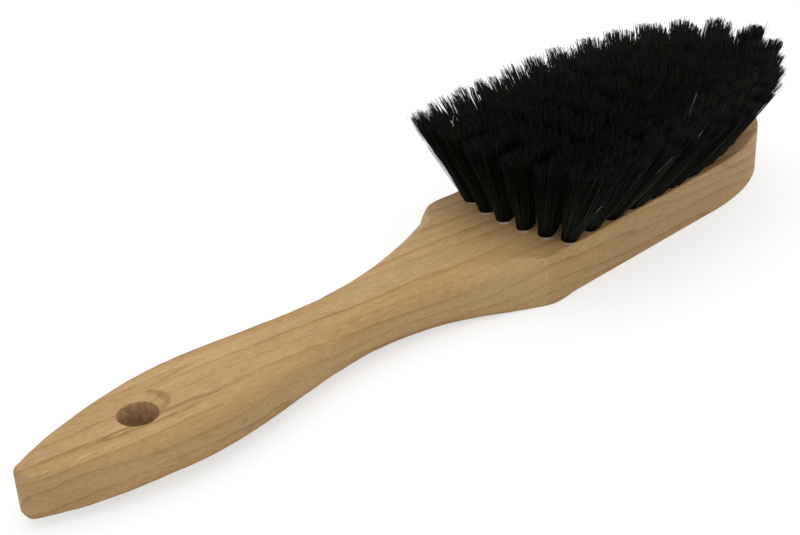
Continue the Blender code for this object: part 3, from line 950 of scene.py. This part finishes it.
# Growth rings
RING_WAVES = ((7, 75, 2.6), (60, 420, 0.22))  # cycles along and across, height in ring widths
LATE_WOOD = (0.3, 0.95)  # part of a year in which late wood grows
LINE_START = (0.86, 0.95)  # part in which the dark line grows
LINE_END = (1.0, 0.965)  # part in which both end
LINE_CHANGE = 14.0  # cycles for each metre along a line
YEAR_CHANGE = 1.37  # cycles from one year to the next
YEAR_STRENGTHS = (0.3, 0.65, 0.35, 1.0)

# Worked wood, with a painted side tone on the upright faces and a painted highlight on the crease
SHARES = {"late": 0.75, "upright": 0.16, "rounded": 0.30, "sanded": 0.17, "chatter": 0.26, "crease": 0.22}
SANDING = (0.036, 0.012, 0.0002)  # where it starts, is full and stops, behind the crease
SANDED_SLOPES = (0.25, 0.6)  # how upright the wood is where the sanding shows
CHATTER_SLOPES = (1.0, 0.75, 0.3, 1.0)
CREASE_SHARE = 0.7  # of the body's crease_back, from the shoulder to the crease
# Painted highlight: a pale line down the upright faces at the crease
CREASE_HIGHLIGHT = (0.0004, 0.0001)  # half width of the pale line on the crease, faded and full

# The drill's print beside the hanging hole
PRINT_MIDDLE = Vector((0.0053, 0.0025, 0.0))  # from the hole's
PRINT_NOISE = (900, 900)
PRINT_RAGGED = 0.0012  # unevenness of its edges
PRINT_INNER = (0.0034, 0.0060)
PRINT_OUTER = (0.0071, 0.0067)
PRINT_SIDE = (0.95, -0.3, 0.0)  # side of the hole where it shows
PRINT_SHOWS = (0.0035, 0.0075, 0.0, 0.65)

# Walls of the holes
WALL_EDGE = (0.00012, 0.00002)  # of the hanging hole, past its radius
TUFT_WALLS = (-0.1, -0.09)  # where along the brush the tuft holes' walls start
TORN_NOISE = (700, 700, 4.0, 0.65)
TORN_TONES = (0.32, 0.68, 0.66, 1.12)

# Relief: how high each unevenness stands, for the height of the mottle
RELIEF = {"fibre": 1.2, "chatter": 1.6, "walls": 5.0, "nicks": -3.0, "fleck": -0.8}
RELIEF_STRENGTH = 0.5
RELIEF_DEPTH = 0.0002
WOOD_GLOSS = 0.18


def marks(bench, place, table):
    """The strongest of a table's oval marks at each place."""
    strongest = 0.0
    for middle, half_length, half_width, tilt, turn, strength in table:
        oval = {0: place, 1: middle, 2: (0.0, tilt, turn), 3: (half_length, half_width, half_width)}
        local = bench.add("ShaderNodeMapping", oval, vector_type="TEXTURE")
        mark = bench.ramp(bench.vector_math("LENGTH", local, output=1), *MARK_EDGE, 0.0, strength)
        strongest = bench.most(mark, strongest)
    return strongest


def torn_rims(places):
    """Marks of pale torn fibre where the front tufts leave the wood."""
    front = min(root.x for _, root, _, _ in places)
    back = Vector((TORN_RIM_BACK, TORN_RIM_BACK, 0.0))
    return [(root - back, *TORN_RIM_SHAPE) for _, root, _, _ in places if root.x < front + FRONT_ROW_DEPTH]


def growth_rings(bench, wood, place, x, grain, axes):
    """How far each place lies in late wood, and in the dark line that ends a year's growth."""
    along, across, _ = axes
    from_pith = bench.vector_math("ADD", place, across * wood.pith_distance)
    radius = bench.vector_math("LENGTH", bench.vector_math("CROSS_PRODUCT", from_pith, along), output=1)
    for *cycles, height in RING_WAVES:
        radius = bench.math("MULTIPLY_ADD", bench.noise(grain, *cycles), wood.ring_width * height, radius)
    years = bench.math("DIVIDE", radius, wood.ring_width)
    year = bench.math("FRACT", years)
    age = {0: bench.math("FLOOR", years), 1: bench.times(x, LINE_CHANGE)}
    changes = bench.noise(bench.add("ShaderNodeCombineXYZ", age), YEAR_CHANGE, YEAR_CHANGE, 1.0)
    strength = bench.ramp(changes, *YEAR_STRENGTHS)
    end = bench.ramp(year, *LINE_END)
    late = bench.times(bench.times(bench.ramp(year, *LATE_WOOD), end), strength)
    return late, bench.times(bench.times(bench.ramp(year, *LINE_START), end), strength)


def worked_wood(bench, tone, wood, body, place, x, patterns):
    """Adds the hand-rounded edges, the sanded side of the shoulder, a painted side tone on the upright faces
    and a painted highlight on the crease. Gives the sanding's chatter too.
    """
    rounding, upright = bench.attribute("rounding"), bench.attribute("upright")
    crease = shoulder_x(body) - body.crease_back * CREASE_SHARE
    start, full, stop = (crease - back for back in SANDING)
    sanded = bench.times(bench.ramp(x, start, full), bench.ramp(x, crease, stop))
    sanded = bench.times(sanded, bench.most(bench.ramp(upright, *SANDED_SLOPES), rounding))
    chatter = bench.times(patterns["strokes"], bench.times(sanded, bench.ramp(upright, *CHATTER_SLOPES)))
    # Painted side tone: the upright faces are made greyer for how they are lit
    tone = bench.mix(bench.times(upright, SHARES["upright"]), tone, wood.painted_side_tone)
    tone = bench.mix(bench.times(rounding, SHARES["rounded"]), tone, wood.warm)
    paled = bench.math("MULTIPLY_ADD", chatter, SHARES["chatter"], bench.times(sanded, SHARES["sanded"]))
    tone = bench.mix(paled, tone, wood.worn)
    # Painted highlight: a pale line on the upright faces at the crease, joined to the wear in the worn mask
    from_crease = bench.math("ABSOLUTE", bench.math("SUBTRACT", x, crease))
    crease_highlight = bench.times(bench.ramp(from_crease, *CREASE_HIGHLIGHT), upright)
    worn = bench.most(bench.times(patterns["worn"], rounding), marks(bench, place, PALE_MARKS))
    worn = bench.most(worn, bench.times(crease_highlight, SHARES["crease"]))
    return bench.mix(worn, tone, wood.worn), chatter


def drill_print(bench, place, hole):
    """The ragged arc where a drill has bruised the wood beside the hanging hole."""
    ragged = bench.times(bench.noise(place, *PRINT_NOISE), PRINT_RAGGED)
    from_print = bench.math("ADD", bench.vector_math("DISTANCE", place, hole + PRINT_MIDDLE, 1), ragged)
    away = bench.vector_math("DOT_PRODUCT", bench.vector_math("SUBTRACT", place, hole), PRINT_SIDE, 1)
    arc = bench.times(bench.ramp(from_print, *PRINT_INNER), bench.ramp(from_print, *PRINT_OUTER))
    return bench.times(arc, bench.ramp(away, *PRINT_SHOWS))


def hole_walls(bench, place, x, body, hole):
    """1 on the walls of the hanging hole and the tuft holes, 0 beside them."""
    flat = bench.vector_math("MULTIPLY", place, (1, 1, 0))
    from_axis = bench.vector_math("DISTANCE", flat, (hole.x, hole.y, 0.0), 1)
    hanging = bench.ramp(from_axis, *(body.hole_diameter / 2 + past for past in WALL_EDGE))
    return bench.most(bench.times(bench.attribute("drilled"), bench.ramp(x, *TUFT_WALLS)), hanging)


def beech_material(wood, body, drilling, places):
    """Beech: growth lines at a slant to the handle, fibres, flecks, worn edges and drilled walls."""
    bench = NodeBench(bpy.data.materials.new("beech"))
    place = bench.add("ShaderNodeTexCoord", output=3)
    x = bench.add("ShaderNodeSeparateXYZ", {0: place})
    across = Vector(wood.ring_normal).normalized()
    along = Vector(wood.grain_direction)
    along = (along - across * along.dot(across)).normalized()
    axes = (along, across, along.cross(across))
    parts = {i: bench.vector_math("DOT_PRODUCT", place, axis, 1) for i, axis in enumerate(axes)}
    grain = bench.add("ShaderNodeCombineXYZ", parts)
    patterns = {**bench.patterns(grain, GRAIN_PATTERNS), **bench.patterns(place, PLACE_PATTERNS)}

    late, line = growth_rings(bench, wood, place, x, grain, axes)
    warm = bench.most(patterns["warm"], bench.times(late, SHARES["late"]))
    warm = bench.most(warm, marks(bench, place, WARM_MARKS))
    tone = bench.mix(warm, wood.light, wood.warm)
    line = bench.times(line, bench.times(patterns["broken"], wood.line_strength))
    tone = bench.mix(line, tone, wood.line)
    for name in ("blotch", "fibre", "mottle"):
        tone = bench.scale(tone, patterns[name])
    nicks = marks(bench, place, DARK_MARKS)
    tone = bench.mix(bench.most(patterns["fleck"], nicks), tone, wood.fleck)

    tone, chatter = worked_wood(bench, tone, wood, body, place, x, patterns)
    rims = bench.times(marks(bench, place, torn_rims(places)), patterns["frayed"])
    tone = bench.mix(rims, tone, wood.torn)
    hole = Vector((hole_x(body), drilling.offset, body.head_thickness))
    tone = bench.mix(drill_print(bench, place, hole), tone, wood.bruise)
    walls = hole_walls(bench, place, x, body, hole)
    torn = bench.noise(place, *TORN_NOISE)
    tone = bench.mix(walls, tone, bench.scale(wood.drilled, bench.ramp(torn, *TORN_TONES)))

    relief = patterns["mottle"]
    uneven = {**patterns, "chatter": chatter, "walls": bench.times(torn, walls), "nicks": nicks}
    for name, height in RELIEF.items():
        relief = bench.math("MULTIPLY_ADD", uneven[name], height, relief)
    inputs = {"Strength": RELIEF_STRENGTH, "Distance": RELIEF_DEPTH, "Height": relief}
    shader = {"Base Color": tone, "Roughness": patterns["rough"], "Specular IOR Level": WOOD_GLOSS}
    return bench.fill_shader({**shader, "Normal": bench.add("ShaderNodeBump", inputs)})


# Bristle. The ramps are over a bristle's own shade, or from its foot at 0 to its tip at 1.
PATCH_NOISE = (150, 150, 3.0)
PATCH_EDGE = (0.44, 0.56)  # between patches of the two tints
TINTED_SHADES = (0.1, 0.98)
# Painted light at the foot of the strands: how much it follows a strand's shade, and how far up it reaches
PAINTED_FOOT_TONES = (0.0, 1.0, 0.45, 1.6)
PAINTED_FOOT_REACH = (0.2, 0.85, 0.8, 0.0)
CUT_REACH = (0.86, 1.0, 0.0, 0.06)
BRISTLE_ROUGHNESS = (0.0, 1.0, 0.38, 0.55)
BRISTLE_GLOSS = 0.05
FLOOR_ROUGHNESS = 0.9


def bristle_material(colours):
    """Black bristle with a few odd ones, with painted light at the foot, a painted sheen, and paler at the
    cut ends.
    """
    bench = NodeBench(bpy.data.materials.new("black_bristle"))
    shade, along = bench.attribute("shade"), bench.attribute("along")
    place = bench.add("ShaderNodeTexCoord", output=3)
    patch = bench.ramp(bench.noise(place, *PATCH_NOISE), *PATCH_EDGE)
    tint = bench.mix(patch, colours.olive, colours.slate)
    tone = bench.mix(bench.ramp(shade, *TINTED_SHADES), colours.black, tint)
    # Painted light at the foot of the strands, where they stand closest
    painted_foot_light = bench.scale(colours.foot, bench.ramp(shade, *PAINTED_FOOT_TONES))
    tone = bench.mix(bench.ramp(along, *PAINTED_FOOT_REACH), tone, painted_foot_light)
    # Painted sheen along the strands
    tone = bench.mix(bench.attribute("silver"), tone, colours.silver)
    for name, span in ODD_SHADES.items():
        tone = bench.mix(bench.ramp(shade, *span), tone, getattr(colours, name))
    tone = bench.mix(bench.ramp(along, *CUT_REACH), tone, colours.cut)
    rough = bench.ramp(shade, *BRISTLE_ROUGHNESS)
    return bench.fill_shader({"Base Color": tone, "Roughness": rough, "Specular IOR Level": BRISTLE_GLOSS})


def floor_material(studio):
    """A pale floor that keeps the brush's shadow."""
    bench = NodeBench(bpy.data.materials.new("studio_floor"))
    seen = bench.rays("Is Camera Ray", "Is Glossy Ray", "Is Transmission Ray")
    tone = bench.mix(seen, [studio.floor_bounce] * 3, [studio.floor_tone] * 3)
    glow = {"Emission Color": (1.0, 1.0, 1.0), "Emission Strength": bench.times(seen, studio.floor_glow)}
    matt = {"Roughness": FLOOR_ROUGHNESS, "Specular IOR Level": 0.0}
    return bench.fill_shader({"Base Color": tone, **glow, **matt})


# Operators

SHARP_ANGLE = 38  # degrees over which an edge of the body stays sharp
SEED_STEP = 1000  # between the seeds of two brushes


class CORNERBRUSH_OT_body(Operator):
    """Make the beech body with its hanging hole and tuft holes"""

    bl_idname = "corner_brush.body"
    bl_label = "Wooden body"

    def execute(self, context):
        settings = context.scene.corner_brush
        body, drilling = settings.body, settings.drilling
        places = tuft_places(body, drilling, settings.bristle.trim_height)
        piece = new_object("beech_body", make_body_mesh(body))
        cutters = [hanging_hole_cutter(body, drilling), tuft_hole_cutter(drilling, places)]
        for cutter in cutters:
            cut = piece.modifiers.new(cutter.name, "BOOLEAN")
            cut.operation = "DIFFERENCE"
            cut.solver = "EXACT"
            cut.object = cutter
        apply_modifiers(piece)
        for cutter in cutters:
            bpy.data.meshes.remove(cutter.data)
        mark_surface(piece, body, drilling)
        piece.data.shade_smooth()
        piece.data.set_sharp_from_angle(angle=math.radians(SHARP_ANGLE))
        piece.data.materials.clear()
        piece.data.materials.append(beech_material(settings.wood, body, drilling, places))
        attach(piece, "root")
        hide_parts("wooden_body")
        return {"FINISHED"}


class CORNERBRUSH_OT_tufts(Operator):
    """Fill every tuft hole with its strands of bristle"""

    bl_idname = "corner_brush.tufts"
    bl_label = "Tufts"

    def execute(self, context):
        settings = context.scene.corner_brush
        bristle = settings.bristle
        material = bristle_material(settings.bristle_colours)
        places = tuft_places(settings.body, settings.drilling, bristle.trim_height)
        for number, (node, *place) in enumerate(places):
            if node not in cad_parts:
                raise RuntimeError(f"the model has no tuft named {node}")
            rng = np.random.default_rng(bristle.seed * SEED_STEP + number)
            own_lean = LEANING_TUFTS.get(node, (0.0, 0.0, 1.0))
            paths, radii, painted_sheens = tuft_strands(*place, own_lean, settings.drilling, bristle, rng)
            shades = rng.random(len(paths))
            shades[rng.random(len(paths)) < BROWN_SHARES.get(node, 0.0)] = BROWN_SHADE
            strands = add_loose_bristles(node, paths, radii, shades, painted_sheens)
            twists = rng.uniform(0, math.tau, len(strands[0]))
            name = node.replace("tuft_", "bristles_")
            piece = new_object(name, strand_mesh(name, *strands, twists))
            piece.data.materials.append(material)
            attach(piece, "root")
            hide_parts(node)
        return {"FINISHED"}


FLOOR_DEPTH = 0.0001  # below the brush
SOFTBOX_SIZE = 0.9
SOFTBOX_PLACE = Vector((0.10, 0.10, 1.0))
SOFTBOX_TARGET = Vector((-0.09, 0.0, 0.0))
CAMERA_TURNS = (47.339, 29.206, 2.757)  # azimuth, elevation and roll in degrees
CAMERA_FROM_HOLE = Vector((-0.18449, -0.31201, 0.25787))
SENSOR_WIDTH = 36.0
CLIP_RANGE = (0.01, 50.0)


class CORNERBRUSH_OT_studio(Operator):
    """Set up the pale floor, the soft light and the camera"""

    bl_idname = "corner_brush.studio"
    bl_label = "Studio"

    def execute(self, context):
        settings = context.scene.corner_brush
        studio = settings.studio
        scene = context.scene
        scene.view_settings.view_transform = "Standard"
        half = studio.floor_size / 2
        mesh = bpy.data.meshes.new("studio_floor")
        corners = [(-half, -half, 0), (half, -half, 0), (half, half, 0), (-half, half, 0)]
        mesh.from_pydata(corners, [], [range(4)])
        floor = new_object("studio_floor", mesh)
        floor.location.z = -FLOOR_DEPTH
        mesh.materials.append(floor_material(studio))
        self.set_world(scene, studio.sky)
        self.add_softbox(studio.lamp_power)
        self.add_camera(scene, settings)
        return {"FINISHED"}

    def set_world(self, scene, sky):
        """Even light from all sides, seen as plain white."""
        bench = NodeBench(bpy.data.worlds.new("studio_sky"), "Background")
        strength = bench.ramp(bench.rays("Is Camera Ray", "Is Transmission Ray"), 0.0, 1.0, sky, 1.0)
        scene.world = bench.fill_shader({"Color": (1.0, 1.0, 1.0), "Strength": strength})

    def add_softbox(self, power):
        """A large soft lamp overhead."""
        lamp = bpy.data.lights.new("softbox", "AREA")
        lamp.shape = "SQUARE"
        lamp.size = SOFTBOX_SIZE
        lamp.energy = power
        piece = new_object("softbox", lamp)
        piece.location = SOFTBOX_PLACE
        piece.rotation_mode = "QUATERNION"
        piece.rotation_quaternion = (SOFTBOX_TARGET - SOFTBOX_PLACE).to_track_quat("-Z", "Y")

    def add_camera(self, scene, settings):
        """The camera where the photographer's stood."""
        data = bpy.data.cameras.new("photo_camera")
        data.lens = settings.studio.lens
        data.sensor_width = SENSOR_WIDTH
        data.clip_start, data.clip_end = CLIP_RANGE
        camera = new_object("photo_camera", data)
        azimuth, elevation, roll = (math.radians(turn) for turn in CAMERA_TURNS)
        level = math.cos(elevation)
        forward = Vector((math.cos(azimuth) * level, math.sin(azimuth) * level, -math.sin(elevation)))
        right = forward.cross(Vector((0, 0, 1))).normalized()
        down = forward.cross(right)
        across = right * math.cos(roll) + down * math.sin(roll)
        under = down * math.cos(roll) - right * math.sin(roll)
        place = Vector((hole_x(settings.body), 0, 0)) + CAMERA_FROM_HOLE
        turned = Matrix((across, -under, -forward)).transposed().to_4x4()
        camera.matrix_world = Matrix.Translation(place) @ turned
        scene.camera = camera


class CORNERBRUSH_PT_sidebar(Panel):
    """The brush's pieces and sizes"""

    bl_idname = "CORNERBRUSH_PT_sidebar"
    bl_label = "Corner Brush"
    bl_space_type = "VIEW_3D"
    bl_region_type = "UI"
    bl_category = "Corner Brush"

    def draw(self, context):
        for step in STEPS:
            self.layout.operator(step.bl_idname)
        settings = context.scene.corner_brush
        for group_name in settings.__annotations__:
            group = getattr(settings, group_name)
            box = self.layout.box()
            for name in group.__annotations__:
                box.prop(group, name)


STEPS = (CORNERBRUSH_OT_body, CORNERBRUSH_OT_tufts, CORNERBRUSH_OT_studio)
CLASSES = (
    BodySizes,
    DrillingSizes,
    BristleSizes,
    WoodColours,
    BristleColours,
    StudioSettings,
    CornerBrushSettings,
    *STEPS,
    CORNERBRUSH_PT_sidebar,
)


def register():
    """Registers the classes and the scene's settings."""
    for cls in CLASSES:
        bpy.utils.register_class(cls)
    bpy.types.Scene.corner_brush = PointerProperty(type=CornerBrushSettings)


def unregister():
    """Takes out what register added."""
    del bpy.types.Scene.corner_brush
    for cls in reversed(CLASSES):
        bpy.utils.unregister_class(cls)


def main():
    """Makes every piece and the studio."""
    register()
    bpy.ops.corner_brush.body()
    bpy.ops.corner_brush.tufts()
    bpy.ops.corner_brush.studio()


if __name__ == "__main__":
    main()
